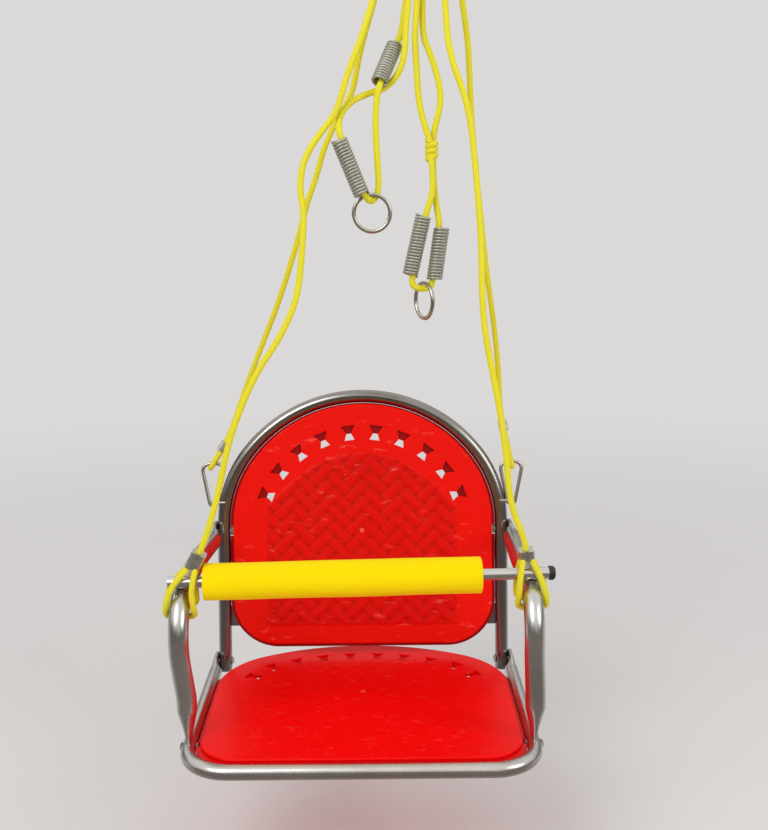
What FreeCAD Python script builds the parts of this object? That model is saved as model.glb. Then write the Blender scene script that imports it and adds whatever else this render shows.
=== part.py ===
import FreeCAD, Part
import math
import os

os.makedirs("parts", exist_ok=True)
V = FreeCAD.Vector

# A child's swing seat on rope, hung from one ceiling hook. Millimetres, +Z up.
# The swing is drawn from its own seat: X to the picture's right, Y to the back, Z up,
# with the seat frame's front tube at Y = 0 and its centreline at Z = 0.
# At the end everything moves so that the ceiling hook's mounting face is the origin.

# Fits
fit = 0.05
gap = 0.3
overrun = 1.0

# Back hoop, a steel tube reclined about the seat rivets
hoop_width = 290.0
hoop_od = 12.7
hoop_wall = 1.0
hoop_foot = 10.0
leg_over_bolt = 7.4
crown_drop = 12.0
shoulder_inset = 23.65
recline_deg = 9.0
seat_depth = 225.5

# Seat frame, a U of the same tube with flattened rear ends
side_od = 12.7
side_wall = 1.0
corner_r = 38.0
flat_plate = 4.0
side_flat_width = 18.0
side_taper = 14.0
side_reach = 14.0

# Arms, thicker tube with a flattened end at the hoop and a tongue in the seat frame
arm_od = 17.0
arm_wall = 1.2
arm_offset = 1.0
arm_front = 44.0
arm_height = 129.0
arm_bend = 38.0
arm_flat_width = 20.0
arm_taper = 16.0
arm_reach = 13.0
arm_lead = 10.0
arm_set_left = 5.0
arm_set_right = -1.5
tongue_plate = 4.0
tongue_width = 14.0
tongue_taper = 26.0
tongue_depth = 4.4
tongue_clear = 0.6

# Rivets and bolts of the frame
rivet_r = 2.5
rivet_head_r = 4.2
rivet_head = 2.2
bolt_r = 2.5
bolt_head_r = 4.6
bolt_head = 3.2
nut_flats = 8.0
nut_height = 2.6

# Backrest moulding. Its raised part stands clear of the hoop, and a thin lip fills the rest.
back_side_gap = 3.1
back_top_gap = 1.3
back_bottom = 17.0
back_corner = 45.0
shoulder_ease = 2.03
back_face = 5.0
plate = 3.0
rim = 3.0
lip = 2.3
edge_round = 1.4

# Cut-outs in an arch near the far end of each moulding: a through lobe and a blind one
cut_inset = 29.0
cut_pitch = 26.6
cut_count = 10
cut_width = 14.0
cut_length = 16.0
cut_waist = 4.5
cut_floor = 0.8
through_width = 10.0
through_length = 6.5

# Seat moulding
seat_side_gap = 2.65
seat_top = 5.0
seat_front = 11.5
seat_corner = 35.0
seat_side_short = 65.5
seat_arch_height = 90.0
seat_shoulder = 73.0

# Flat steel strips that carry the mouldings, and their screws
strip_width = 20.0
strip_plate = 2.5
seat_strip_places = (60.0, 170.0)
back_strip_low = 45.0
strip_under_bolt = 20.6
screw_row_width = 160.0
boss_r = 6.0
screw_r = 2.0
screw_head_r = 4.0
screw_head = 2.2
screw_bite = 3.6

# Rope and the rings that tie it to the hoop
rope_d = 5.5
staple_wire = 2.8
staple_width = 14.0
staple_over_leg = 21.5
staple_reach = 7.5
ring_wire = 3.6
ring_height = 38.5
ring_width = 27.5
ring_corner = 7.0

# Safety bar, its cap and its foam
bar_r = 5.0
bar_past_left = 14.9
bar_past_right = 14.5
bar_back_left = 18.0
bar_back_right = 26.0
cap_r = 6.0
cap_length = 5.5
cap_round = 3.0
cap_depth = 1.5
foam_r = 15.7
foam_inset_left = 15.0
foam_inset_right = 44.0
foam_round = 1.0

# Crimped ferrules on the rope eyes
crimp_width = 12.6
crimp_depth = 12.6
crimp_edge = 2.5
crimp_groove = 1.2
front_crimp_left_length = 15.0
front_crimp_right_length = 9.0
rear_crimp_length = 10.0
rear_crimp_depth = 8.4
rear_eye_left_height = 13.0
rear_eye_right_height = 31.0
rear_eye_left_out = 2.55
rear_eye_right_out = 3.65
front_lean_left_share = (7.0 / 14.0, -1.0 / 14.0, 1.0)
front_lean_right_share = (1.0 / 9.0, -1.0 / 9.0, 1.0)
rope_bite = 3.0
rope_lead = 12.0
tail_length = 9.0
tail_end = 7.0
tail_lean = (2.0, 1.5, 0)
leg_spread = 5.8
sling_gap = 0.7
sling_rise = 4.5
sling_side = 2.5
sling_lift = 0.5
sling_inward = 2.2

# Hanging rings on the loose ropes
loose_ring_r = 15.1
loose_wire = 3.4
ring_seat_left = (-0.1, -1.5, 2.45)
ring_seat_right = (9.5, 0.8, -0.55)

# Spring sleeves, close wound
spring_wire = 2.0
spring_od = 13.8
spring_pitch = 2.6
sleeve_gap = 0.75

# Hanging knot, the loops over the hook, and the hook
knot_r = 17.0
knot_height = 32.0
knot_round = 8.0
knot_pitch = 5.7
hang_x = 59.6
hang_y = 147.0
knot_z = 746.8
hook_wire = 8.0
hook_r = 16.0
hook_entry = 38.6
loop_drop = 22.0
loop_spread = 6.6
loop_gap = 0.75
collar_r = 14.0
collar = 4.0
neck = 5.0
shank_r = 4.0
shank_length = 30.0
small_knot_r = 6.2
small_knot_height = 23.0
small_knot_round = 4.5
small_knot_place = (62.6, 133.2, 494.3)

# Shares of a run that its bends may take, and of a turn
bend_share = 0.45
near_share = 0.49
far_share = 0.85
round_share = 0.82
narrow_share = 0.7
snug_share = 0.98
half_share = 0.5

# Angles
taper_deg = 62.0
hook_tip_deg = 25.0
ring_turn_deg = 26.0

rope_r = rope_d / 2
hoop_r = hoop_od / 2
side_r = side_od / 2
arm_r = arm_od / 2
hoop_half = hoop_width / 2 - hoop_r
hoop_rise = hoop_half - crown_drop
hoop_shoulder = hoop_half - shoulder_inset
seat_half = hoop_width / 2
arm_half = seat_half + arm_offset
recline = math.radians(recline_deg)
arm_bolt_t = arm_height / math.cos(recline)
arm_bolt_y = seat_depth + arm_bolt_t * math.sin(recline)
hoop_leg = arm_bolt_t + leg_over_bolt
made = {}
reports = []


# Keep one node under its name
def keep(name, *shapes):
    made[name] = shapes[0] if len(shapes) == 1 else Part.makeCompound(list(shapes))


def unit(v):
    return v * (1 / v.Length)


# Three-point arc and straight edges
def arc(a, b, c):
    return Part.Arc(a, b, c).toShape()


def line(a, b):
    return Part.LineSegment(a, b).toShape()


# Straight runs joined by tangent arcs, with the radii and the length. A radius that is
# given goes round a fitting, and the bends beside it leave it room.
def bent(points, radii=None):
    radii = radii or {}
    last = len(points) - 1
    runs = [(points[k + 1] - points[k]).Length for k in range(last)]
    half_turns, reaches = {}, {}
    for k in range(1, last):
        u, w = unit(points[k - 1] - points[k]), unit(points[k + 1] - points[k])
        half_turns[k] = (math.pi - u.getAngle(w)) / 2
    for k in radii:
        shares = [near_share if n in radii else far_share for n in (k - 1, k + 1)]
        most = min(shares[0] * runs[k - 1], shares[1] * runs[k])
        reaches[k] = min(radii[k] * math.tan(half_turns[k]), most)
    for k in range(1, last):
        if k not in radii:
            room = [bend_share * min(runs[k - 1], runs[k])]
            room += [far_share * (runs[k - 1] - reaches[k - 1])] if k - 1 in radii else []
            room += [far_share * (runs[k] - reaches[k + 1])] if k + 1 in radii else []
            reaches[k] = min(room)
    edges, sizes, at = [], [], points[0]
    for k in range(1, last):
        here = points[k]
        u, w = unit(points[k - 1] - here), unit(points[k + 1] - here)
        radius = reaches[k] / math.tan(half_turns[k])
        middle = here + unit(u + w) * (radius / math.cos(half_turns[k]) - radius)
        start, stop = here + u * reaches[k], here + w * reaches[k]
        edges.append(line(at, start))
        edges.append(arc(start, middle, stop))
        sizes.append(radius)
        at = stop
    edges.append(line(at, points[-1]))
    return edges, sizes


# A round bar or rope along a path of edges
def round_along(edges, radius):
    path = Part.Wire(edges)
    first = edges[0]
    start = first.valueAt(first.FirstParameter)
    ahead = first.tangentAt(first.FirstParameter)
    ring = Part.Wire([Part.makeCircle(radius, start, ahead)])
    return path.makePipeShell([ring], True, False)


def rope(name, points, radii=None):
    edges, sizes = bent([V(*p) for p in points], radii)
    solid = round_along(edges, rope_r)
    length = sum(e.Length for e in edges)
    share = solid.Volume / (math.pi * rope_r * rope_r * length)
    reports.append("%s: length %.1f, volume share %.4f, radii %s" % (
        name, length, share, " ".join("%.1f" % s for s in sizes)))
    keep(name, solid)
    return solid


# Move a shape from the hoop's own plane, drawn upright at X and Z, to its reclined place
def on_hoop(shape):
    moved = shape.copy()
    moved.rotate(V(0, 0, 0), V(1, 0, 0), -recline_deg)
    moved.translate(V(0, seat_depth, 0))
    return moved


# The same for a point at x, t up the plane and n in front of it
def hoop_point(x, t, n):
    y = seat_depth + t * math.sin(recline) - n * math.cos(recline)
    return V(x, y, t * math.cos(recline) + n * math.sin(recline))


# Three arcs over a base line: two shoulders and a flatter top
def arch_points(half, rise, shoulder, base):
    drop = ((half - shoulder) ** 2 - (rise - shoulder) ** 2) / (2 * (rise - shoulder))
    span = math.hypot(half - shoulder, drop)
    top_r = shoulder + span
    lean = math.atan2(drop, half - shoulder)
    joint = (top_r * math.cos(lean), base - drop + top_r * math.sin(lean))
    mid = (half - shoulder + shoulder * math.cos(lean / 2), base + shoulder * math.sin(lean / 2))
    return mid, joint, (0, base + rise)


def arch_edges(half, rise, shoulder, base, place):
    mid, joint, top = arch_points(half, rise, shoulder, base)
    left = arc(place(-half, base), place(-mid[0], mid[1]), place(-joint[0], joint[1]))
    crown = arc(place(-joint[0], joint[1]), place(*top), place(*joint))
    right = arc(place(*joint), place(*mid), place(half, base))
    return [left, crown, right]


# A tube's end that is pressed flat, drawn along Z: round to flat, then a plate with a hole
def flat_end(od, thick, width, taper, reach, shift, hole_r, tip=None):
    turn = math.radians(taper_deg)
    radius = od / 2
    flat = (width - thick) / 2

    def on_circle(angle):
        return V(radius * math.cos(angle), radius * math.sin(angle), 0)

    corners = [-turn, turn, math.pi - turn, math.pi + turn]
    middles = [0, math.pi / 2, math.pi, 3 * math.pi / 2]
    circle = []
    for k in range(4):
        after = corners[(k + 1) % 4]
        circle.append(arc(on_circle(corners[k]), on_circle(middles[k]), on_circle(after)))

    def stadium(z):
        right, left = shift + thick / 2, shift - thick / 2
        return Part.Wire([
            line(V(right, -flat, z), V(right, flat, z)),
            arc(V(right, flat, z), V(shift, flat + thick / 2, z), V(left, flat, z)),
            line(V(left, flat, z), V(left, -flat, z)),
            arc(V(left, -flat, z), V(shift, -flat - thick / 2, z), V(right, -flat, z))])

    loft = Part.makeLoft([Part.Wire(circle), stadium(taper)], True, True)
    hole_z = taper + reach
    end = width / 2 if tip is None else tip
    blade = Part.Face(stadium(taper)).extrude(V(0, 0, reach + end))
    if tip is None:
        box = Part.makeBox(thick * 2, width, reach, V(shift - thick, -width / 2, taper))
        disc = Part.makeCylinder(width / 2, thick * 2, V(shift - thick, 0, hole_z), V(1, 0, 0))
        blade = blade.common(box.fuse(disc))
    solid = loft.fuse(blade)
    hole = Part.makeCylinder(hole_r + fit, thick * 2, V(shift - thick, 0, hole_z), V(1, 0, 0))
    return solid.cut(hole)


# Turn a shape drawn along Z so that it runs to the back or down, then set it in place
def to_back(shape, place):
    moved = shape.copy()
    moved.rotate(V(0, 0, 0), V(1, 0, 0), -90)
    moved.translate(place)
    return moved


def to_down(shape, place):
    moved = shape.copy()
    moved.rotate(V(0, 0, 0), V(1, 0, 0), 180)
    moved.translate(place)
    return moved


# A low dome along X from a flat base, for rivet and bolt heads
def dome(base, radius, height, ahead):
    ball = (radius * radius + height * height) / (2 * height)
    centre = base + ahead * (height - ball)
    skirt = Part.makeCylinder(radius, height, base, ahead)
    return Part.makeSphere(ball, centre).common(skirt)


def rivet(low, high, y, z, shank, head_r, head):
    ball = (head_r * head_r + head * head) / (2 * head)
    slope = math.asin(head_r / ball) / 2
    edge = [V(low - head, y, z), V(low, y, z + head_r), V(low, y, z + shank),
            V(high, y, z + shank), V(high, y, z + head_r), V(high + head, y, z)]
    crown = (ball - ball * math.cos(slope), ball * math.sin(slope))
    left = V(low - head + crown[0], y, z + crown[1])
    right = V(high + head - crown[0], y, z + crown[1])
    outline = [arc(edge[0], left, edge[1]), line(edge[1], edge[2]), line(edge[2], edge[3]),
               line(edge[3], edge[4]), arc(edge[4], right, edge[5]), line(edge[5], edge[0])]
    return Part.Face(Part.Wire(outline)).revolve(edge[0], V(1, 0, 0), 360)


# Back hoop
def upright(x, t):
    return V(x, 0, t)


leg_left = line(upright(-hoop_half, -hoop_foot), upright(-hoop_half, hoop_leg))
leg_right = line(upright(hoop_half, hoop_leg), upright(hoop_half, -hoop_foot))
hoop_path = [leg_left] + arch_edges(hoop_half, hoop_rise, hoop_shoulder, hoop_leg, upright) + [leg_right]
hoop_outer = round_along(hoop_path, hoop_r)
hoop_tube = on_hoop(hoop_outer.cut(round_along(hoop_path, hoop_r - hoop_wall)))
for side in (-1, 1):
    for y, z, radius in ((seat_depth, 0, rivet_r), (arm_bolt_y, arm_height, bolt_r)):
        low = side * hoop_half - hoop_od
        hoop_tube = hoop_tube.cut(Part.makeCylinder(radius + fit, 2 * hoop_od, V(low, y, z), V(1, 0, 0)))
keep("back_hoop_tube", hoop_tube)

# Seat frame
side_end = seat_depth - side_reach - side_taper
bend_x = seat_half - corner_r
diagonal = corner_r * math.cos(math.pi / 4)
side_path = [
    line(V(-seat_half, side_end, 0), V(-seat_half, corner_r, 0)),
    arc(V(-seat_half, corner_r, 0), V(-bend_x - diagonal, corner_r - diagonal, 0), V(-bend_x, 0, 0)),
    line(V(-bend_x, 0, 0), V(bend_x, 0, 0)),
    arc(V(bend_x, 0, 0), V(bend_x + diagonal, corner_r - diagonal, 0), V(seat_half, corner_r, 0)),
    line(V(seat_half, corner_r, 0), V(seat_half, side_end, 0))]
seat_frame = round_along(side_path, side_r).cut(round_along(side_path, side_r - side_wall))
side_shift = fit + flat_plate / 2
slot = tongue_plate / 2 + fit
for side in (-1, 1):
    end = flat_end(side_od, flat_plate, side_flat_width, side_taper, side_reach, side * side_shift, rivet_r)
    seat_frame = seat_frame.fuse(to_back(end, V(side * seat_half, side_end, 0)))
    low = side * seat_half - side_od
    seat_frame = seat_frame.cut(Part.makeCylinder(rivet_r + fit, 2 * side_od, V(low, arm_front, 0), V(1, 0, 0)))
    corner = V(side * seat_half - slot, arm_front - tongue_width / 2 - fit, 0)
    seat_frame = seat_frame.cut(Part.makeBox(2 * slot, tongue_width + 2 * fit, side_od, corner))
keep("seat_frame_tube", seat_frame)

# Arms
arm_low = side_r + tongue_clear + tongue_taper
arm_back = arm_bolt_y - arm_reach - arm_taper
bend_y = arm_front + arm_bend
bend_z = arm_height - arm_bend


# An arm is set over to one side between its foot and its bend, and back again before the hoop
def arm_path(x, set_over):
    return bent([
        V(x, arm_front, arm_low), V(x, arm_front, arm_low + arm_lead), V(set_over, arm_front, bend_z - arm_lead),
        V(set_over, arm_front, arm_height), V(set_over, (bend_y + arm_back) * half_share, arm_height),
        V(x, arm_back - arm_lead, arm_height), V(x, arm_back, arm_height)], {3: arm_bend})[0]


bend_places = {-1: -arm_half - arm_set_left, 1: arm_half + arm_set_right}
for side, name in ((-1, "left"), (1, "right")):
    x = side * arm_half
    path = arm_path(x, bend_places[side])
    arm = round_along(path, arm_r).cut(round_along(path, arm_r - arm_wall))
    rear_shift = side * (fit + flat_plate / 2 - arm_offset)
    rear = flat_end(arm_od, flat_plate, arm_flat_width, arm_taper, arm_reach, rear_shift, bolt_r)
    foot_reach = side_r + tongue_clear
    foot = flat_end(arm_od, tongue_plate, tongue_width, tongue_taper, foot_reach,
                    -side * arm_offset, rivet_r, tongue_depth)
    arm = arm.fuse(to_back(rear, V(x, arm_back, arm_height)))
    arm = arm.fuse(to_down(foot, V(x, arm_front, arm_low)))
    keep("arm_tube_" + name, arm)

# Rivets through the seat frame and the arm tongues, and through the hoop legs
front_rivets, rear_rivets, bolts, nuts = [], [], [], []
nut_inner = hoop_half - hoop_r - fit - nut_height
nut_corner = nut_flats / math.sqrt(3)
for side in (-1, 1):
    inner, outer = side * (seat_half - side_r - fit), side * (seat_half + side_r + fit)
    front_rivets.append(rivet(min(inner, outer), max(inner, outer), arm_front, 0, rivet_r, rivet_head_r, rivet_head))
    inner, outer = side * (hoop_half - hoop_r - fit), side * (seat_half + flat_plate + 2 * fit)
    rear_rivets.append(rivet(min(inner, outer), max(inner, outer), seat_depth, 0, rivet_r, rivet_head_r, rivet_head))
    ahead = V(side, 0, 0)
    shank = Part.makeCylinder(bolt_r, abs(outer) - nut_inner, V(side * nut_inner, arm_bolt_y, arm_height), ahead)
    bolts.append(shank.fuse(dome(V(outer, arm_bolt_y, arm_height), bolt_head_r, bolt_head, ahead)))
    corners = []
    for k in range(7):
        angle = math.radians(60 * k + 30)
        corners.append(V(side * nut_inner, arm_bolt_y + nut_corner * math.cos(angle),
                         arm_height + nut_corner * math.sin(angle)))
    blank = Part.Face(Part.makePolygon(corners)).extrude(ahead * nut_height)
    nuts.append(blank.cut(Part.makeCylinder(
        bolt_r + fit, nut_height, V(side * nut_inner, arm_bolt_y, arm_height), ahead)))
keep("arm_front_rivets", *front_rivets)
keep("seat_rear_rivets", *rear_rivets)
keep("arm_rear_bolts", *bolts)
keep("arm_bolt_nuts", *nuts)


# Outline of a moulding: a straight side below an arch, and rounded corners at the base
def panel_wire(half, rise, shoulder, base, bottom, corner, place):
    d = corner * math.cos(math.pi / 4)
    x, low = half - corner, bottom + corner
    edges = arch_edges(half, rise, shoulder, base, place)
    edges += [
        line(place(half, base), place(half, low)),
        arc(place(half, low), place(x + d, low - d), place(x, bottom)),
        line(place(x, bottom), place(-x, bottom)),
        arc(place(-x, bottom), place(-x - d, low - d), place(-half, low)),
        line(place(-half, low), place(-half, base))]
    return Part.Wire(edges)


# Round the edges that lie on a moulding's face
def round_face(solid, ahead, level):
    edges = []
    for e in solid.Edges:
        ends = [v.Point.dot(ahead) for v in e.Vertexes]
        if ends and all(abs(h - level) < fit for h in ends):
            edges.append(e)
    return solid.makeFillet(edge_round, edges)


# Middle line of the cut-outs: the moulding's own arch, moved inwards
def along_arch(half, rise, shoulder, base, distance):
    half, rise, shoulder = half - cut_inset, rise - cut_inset, shoulder - cut_inset
    mid, joint, top = arch_points(half, rise, shoulder, base)
    drop = ((half - shoulder) ** 2 - (rise - shoulder) ** 2) / (2 * (rise - shoulder))
    top_r = rise + drop
    lean = math.atan2(joint[0], joint[1] - (base - drop))
    side, far = (1, distance) if distance >= 0 else (-1, -distance)
    if far <= top_r * lean:
        angle = far / top_r
        return side * top_r * math.sin(angle), base - drop + top_r * math.cos(angle), side * angle
    angle = lean + (far - top_r * lean) / shoulder
    return side * (half - shoulder + shoulder * math.sin(angle)), base + shoulder * math.cos(angle), side * angle


# Hourglass cut-outs: the lobe towards the middle goes through, the outer one has a floor
def cut_arch(panel, half, rise, shoulder, base, place, ahead, face):
    for k in range(cut_count):
        x, t, angle = along_arch(half, rise, shoulder, base, (k - (cut_count - 1) / 2) * cut_pitch)
        for low, half_width, reach in ((-overrun, through_width / 2, -through_length),
                                       (face - plate + cut_floor, cut_width / 2, cut_length / 2)):
            outline = []
            for across, out in ((-cut_waist / 2, 0), (-half_width, reach), (half_width, reach),
                                (cut_waist / 2, 0), (-cut_waist / 2, 0)):
                px = x + across * math.cos(angle) + out * math.sin(angle)
                pt = t - across * math.sin(angle) + out * math.cos(angle)
                outline.append(place(px, pt) + ahead * low)
            hole = Part.Face(Part.makePolygon(outline)).extrude(ahead * (face + overrun - low))
            panel = panel.cut(hole)
    return panel


# Backrest, drawn upright and then reclined with the hoop
back_half = hoop_half - hoop_r - back_side_gap
back_rise = hoop_rise - hoop_r - back_top_gap
back_shoulder = back_half - shoulder_inset + shoulder_ease
back_ahead = V(0, -1, 0)


def back_outline(inset):
    return Part.Face(panel_wire(
        back_half - inset, back_rise - inset, back_shoulder - inset, hoop_leg,
        back_bottom + inset, back_corner - inset, upright))


panel = back_outline(0).extrude(back_ahead * back_face)
panel = round_face(panel, back_ahead, back_face)
lip_reach = back_side_gap - gap
lip_outline = panel_wire(
    back_half + lip_reach, hoop_rise - hoop_r - gap, hoop_shoulder - hoop_r - gap, hoop_leg,
    back_bottom - lip_reach, back_corner + lip_reach, upright)
panel = panel.fuse(Part.Face(lip_outline).extrude(back_ahead * lip))
panel = panel.cut(back_outline(rim).extrude(back_ahead * (back_face - plate)))
nut_room = nut_corner + gap
for side in (-1, 1):
    notch = V(min(side * (nut_inner - gap), side * hoop_half), -lip - overrun, arm_bolt_t - nut_room)
    notch_width = hoop_half - nut_inner + gap
    panel = panel.cut(Part.makeBox(notch_width, lip + 2 * overrun, 2 * nut_room, notch))
panel = cut_arch(panel, back_half, back_rise, back_shoulder, hoop_leg, upright, back_ahead, back_face)


# Bosses, strips and screws of one moulding, drawn with the plate at the far side of "ahead"
def carry(panel, places, spread, half_length, at, ahead, along, height):
    strips, screws = [], []
    for place in places:
        middle = at(0, place)
        start = middle - V(half_length, 0, 0) - along * (strip_width / 2)
        edges = [start, start + V(2 * half_length, 0, 0),
                 start + V(2 * half_length, 0, 0) + along * strip_width, start + along * strip_width, start]
        strip = Part.Face(Part.makePolygon(edges)).extrude(ahead * -strip_plate)
        for side in (-1, 1):
            centre = at(side * spread / 2, place)
            panel = panel.fuse(Part.makeCylinder(boss_r, height, centre, ahead))
            panel = panel.cut(Part.makeCylinder(screw_r + fit, screw_bite + fit, centre, ahead))
            strip = strip.cut(Part.makeCylinder(screw_r + fit, strip_plate, centre, ahead * -1))
            under = centre - ahead * (strip_plate + fit)
            shank = Part.makeCylinder(screw_r, strip_plate + screw_bite, under, ahead)
            screws.append(shank.fuse(dome(under, screw_head_r, screw_head, ahead * -1)))
        strips.append(strip)
    return panel, strips, screws


strip_half = hoop_half - hoop_r - fit
panel, strips, screws = carry(
    panel, (back_strip_low, arm_bolt_t - strip_under_bolt), screw_row_width, strip_half, upright,
    back_ahead, V(0, 0, 1), back_face - plate)
keep("backrest_panel", on_hoop(panel))
keep("backrest_cross_strips", *[on_hoop(s) for s in strips])
keep("backrest_screws", *[on_hoop(s) for s in screws])


# Seat
def level_at(z):
    def place(x, y):
        return V(x, y, z)
    return place


seat_panel_half = seat_half - side_r - seat_side_gap
seat_side_end = seat_depth - seat_side_short


def seat_outline(inset):
    return Part.Face(panel_wire(
        seat_panel_half - inset, seat_arch_height - inset, seat_shoulder - inset, seat_side_end,
        seat_front + inset, seat_corner - inset, level_at(0)))


seat = seat_outline(0).extrude(V(0, 0, seat_top))
seat = round_face(seat, V(0, 0, 1), seat_top)
lip_reach = seat_side_gap - gap
lip_outline = panel_wire(
    seat_panel_half + lip_reach, seat_arch_height + lip_reach, seat_shoulder + lip_reach, seat_side_end,
    side_r + gap, corner_r - side_r - gap, level_at(0))
seat = seat.fuse(Part.Face(lip_outline).extrude(V(0, 0, lip)))
seat = seat.cut(seat_outline(rim).extrude(V(0, 0, seat_top - plate)))
head_room = rivet_head_r + gap
head_inner = seat_half - side_r - fit - rivet_head - gap
for side in (-1, 1):
    notch = V(min(side * head_inner, side * seat_half), arm_front - head_room, -overrun)
    seat = seat.cut(Part.makeBox(seat_half - head_inner, 2 * head_room, lip + 2 * overrun, notch))
seat = cut_arch(
    seat, seat_panel_half, seat_arch_height, seat_shoulder, seat_side_end, level_at(0), V(0, 0, 1), seat_top)
seat, strips, screws = carry(
    seat, seat_strip_places, screw_row_width, seat_half - side_r - fit, level_at(0), V(0, 0, 1),
    V(0, 1, 0), seat_top - plate)
keep("seat_panel", seat)
keep("seat_cross_strips", *strips)
keep("seat_panel_screws", *screws)

# Staples on the hoop, and the triangle rings held in them
hoop_fat = round_along(hoop_path, hoop_r + fit)
staple_place = hoop_leg + staple_over_leg
ring_top = staple_place + ring_height
hoop_x = hoop_half - hoop_shoulder + math.sqrt(hoop_shoulder ** 2 - staple_over_leg ** 2)
bar_x = hoop_x + hoop_r + staple_reach - staple_wire / 2
ring_hold = staple_wire / 2 + gap + ring_wire / 2
for side, name in ((-1, "left"), (1, "right")):
    half = (staple_width - staple_wire) / 2
    points = [V(side * x, y, staple_place) for x, y in (
        (hoop_x, -half), (bar_x, -half), (bar_x, half), (hoop_x, half))]
    edges, sizes = bent(points, {1: staple_wire, 2: staple_wire})
    staple = round_along(edges, staple_wire / 2).cut(hoop_fat)
    keep("rope_staple_" + name, on_hoop(max(staple.Solids, key=lambda s: s.Volume)))
    x0, x1 = bar_x - ring_hold, bar_x + ring_hold
    low_t = staple_place - ring_hold
    wide = (ring_width - ring_wire) / 2
    corners = [(bar_x, low_t), (x1, low_t), (bar_x + wide, ring_top),
               (bar_x - wide, ring_top), (x0, low_t), (bar_x, low_t)]
    points = [V(side * x, 0, t) for x, t in corners]
    hold = ring_hold * snug_share
    edges, sizes = bent(points, {1: hold, 2: ring_corner, 3: ring_corner, 4: hold})
    keep("triangle_ring_" + name, on_hoop(round_along(edges, ring_wire / 2)))


# Place along the safety bar, which lies on the bends of both arms
def on_bend(y):
    reach = arm_bend + arm_r + gap + bar_r
    return bend_z + math.sqrt(reach ** 2 - (bend_y - y) ** 2)


bar_y_left, bar_y_right = arm_front + bar_back_left, arm_front + bar_back_right
left_rest = V(-arm_half, bar_y_left, on_bend(bar_y_left))
right_rest = V(arm_half, bar_y_right, on_bend(bar_y_right))
bar_way = unit(right_rest - left_rest)
bar_middle = (left_rest + right_rest) * half_share


def on_bar(x):
    return bar_middle + bar_way * (x / bar_way.x)


rod_start, rod_end = on_bar(-arm_half - bar_past_left), on_bar(arm_half + bar_past_right)
keep("safety_bar_rod", Part.makeCylinder(bar_r, (rod_end - rod_start).Length, rod_start, bar_way))
cap_start = rod_end - bar_way * cap_depth
cap = Part.makeCylinder(cap_r, cap_length, cap_start, bar_way)
cap = cap.makeFillet(cap_round, [max(cap.Edges, key=lambda e: e.CenterOfMass.dot(bar_way) if e.Closed else -9e9)])
cap = cap.cut(Part.makeCylinder(bar_r, cap_depth, cap_start, bar_way))
keep("bar_end_cap", cap)
foam_start = on_bar(-arm_half + foam_inset_left)
foam_length = 2 * arm_half - foam_inset_left - foam_inset_right
foam = Part.makeCylinder(foam_r, foam_length, foam_start, bar_way)
foam = foam.makeFillet(foam_round, [e for e in foam.Edges if e.Closed])
foam = foam.cut(Part.makeCylinder(bar_r + fit, foam_length, foam_start, bar_way))
keep("foam_sleeve", foam)


# A crimp: a block with rounded edges and a groove down its face, drawn up from its foot
def crimp(foot, head, length, depth):
    block = Part.makeBox(crimp_width, depth, length, V(-crimp_width / 2, -depth / 2, 0))
    sides = [e for e in block.Edges if abs(e.tangentAt(e.FirstParameter).z) > half_share]
    block = block.makeFillet(crimp_edge, sides)
    for face in (-1, 1):
        block = block.cut(Part.makeCylinder(crimp_groove, length, V(0, face * depth / 2, 0), V(0, 0, 1)))
    way = unit(head - foot)
    block.Placement = FreeCAD.Placement(foot, FreeCAD.Rotation(V(0, 0, 1), way))
    return block, way


# Slings: two loops a side under the arm's bend, one before and one behind the bar
crimp_lift = bar_r + gap + rope_r + sling_rise
sling_clear = arm_r + sling_gap + rope_r
sling_turn = round_share * sling_clear
pass_bar = bar_r + sling_gap + rope_r
crimp_heads = {}
for side, name, bar_y, length, lean_share, fore_deg, aft_deg in (
        (-1, "left", bar_y_left, front_crimp_left_length, front_lean_left_share, 42.0, 68.0),
        (1, "right", bar_y_right, front_crimp_right_length, front_lean_right_share, 54.0, 81.0)):
    bar_z = on_bend(bar_y)
    foot = V(side * (arm_half - leg_spread), bar_y, bar_z + crimp_lift)
    head = foot + unit(V(-side * lean_share[0], lean_share[1], lean_share[2])) * length
    block, way = crimp(foot, head, length, crimp_depth)
    keep("front_crimp_" + name, block)
    crimp_heads["front_" + name] = (head, way)
    x = bend_places[side]
    for tag, sign, degrees in (("fore", -1, fore_deg), ("aft", 1, aft_deg)):
        turn = math.radians(degrees)
        low_r = arm_bend - sling_clear
        under = V(x, bend_y - low_r * math.cos(turn), bend_z + low_r * math.sin(turn))
        side_r_at = arm_bend + sling_side
        beside = V(x, bend_y - side_r_at * math.cos(turn), bend_z + side_r_at * math.sin(turn))
        beside.y = (beside.y + bar_y + sign * pass_bar) / 2
        out = V(sling_clear, 0, 0)
        level = V(0, sign * (pass_bar + sling_lift), sling_lift)
        shoulder = V(x - side * sling_inward, bar_y, bar_z) + level
        narrow = V(sling_clear * narrow_share, 0, 0)
        start = foot + V(0, sign * leg_spread / 2, 0) + way * rope_bite
        spread = V(leg_spread / 2, 0, 0)
        points = [start - spread, shoulder - narrow, beside - out, under - out,
                  under + out, beside + out, shoulder + narrow, start + spread]
        rope("sling_%s_%s" % (name, tag), points, {3: sling_turn, 4: sling_turn})

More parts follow.
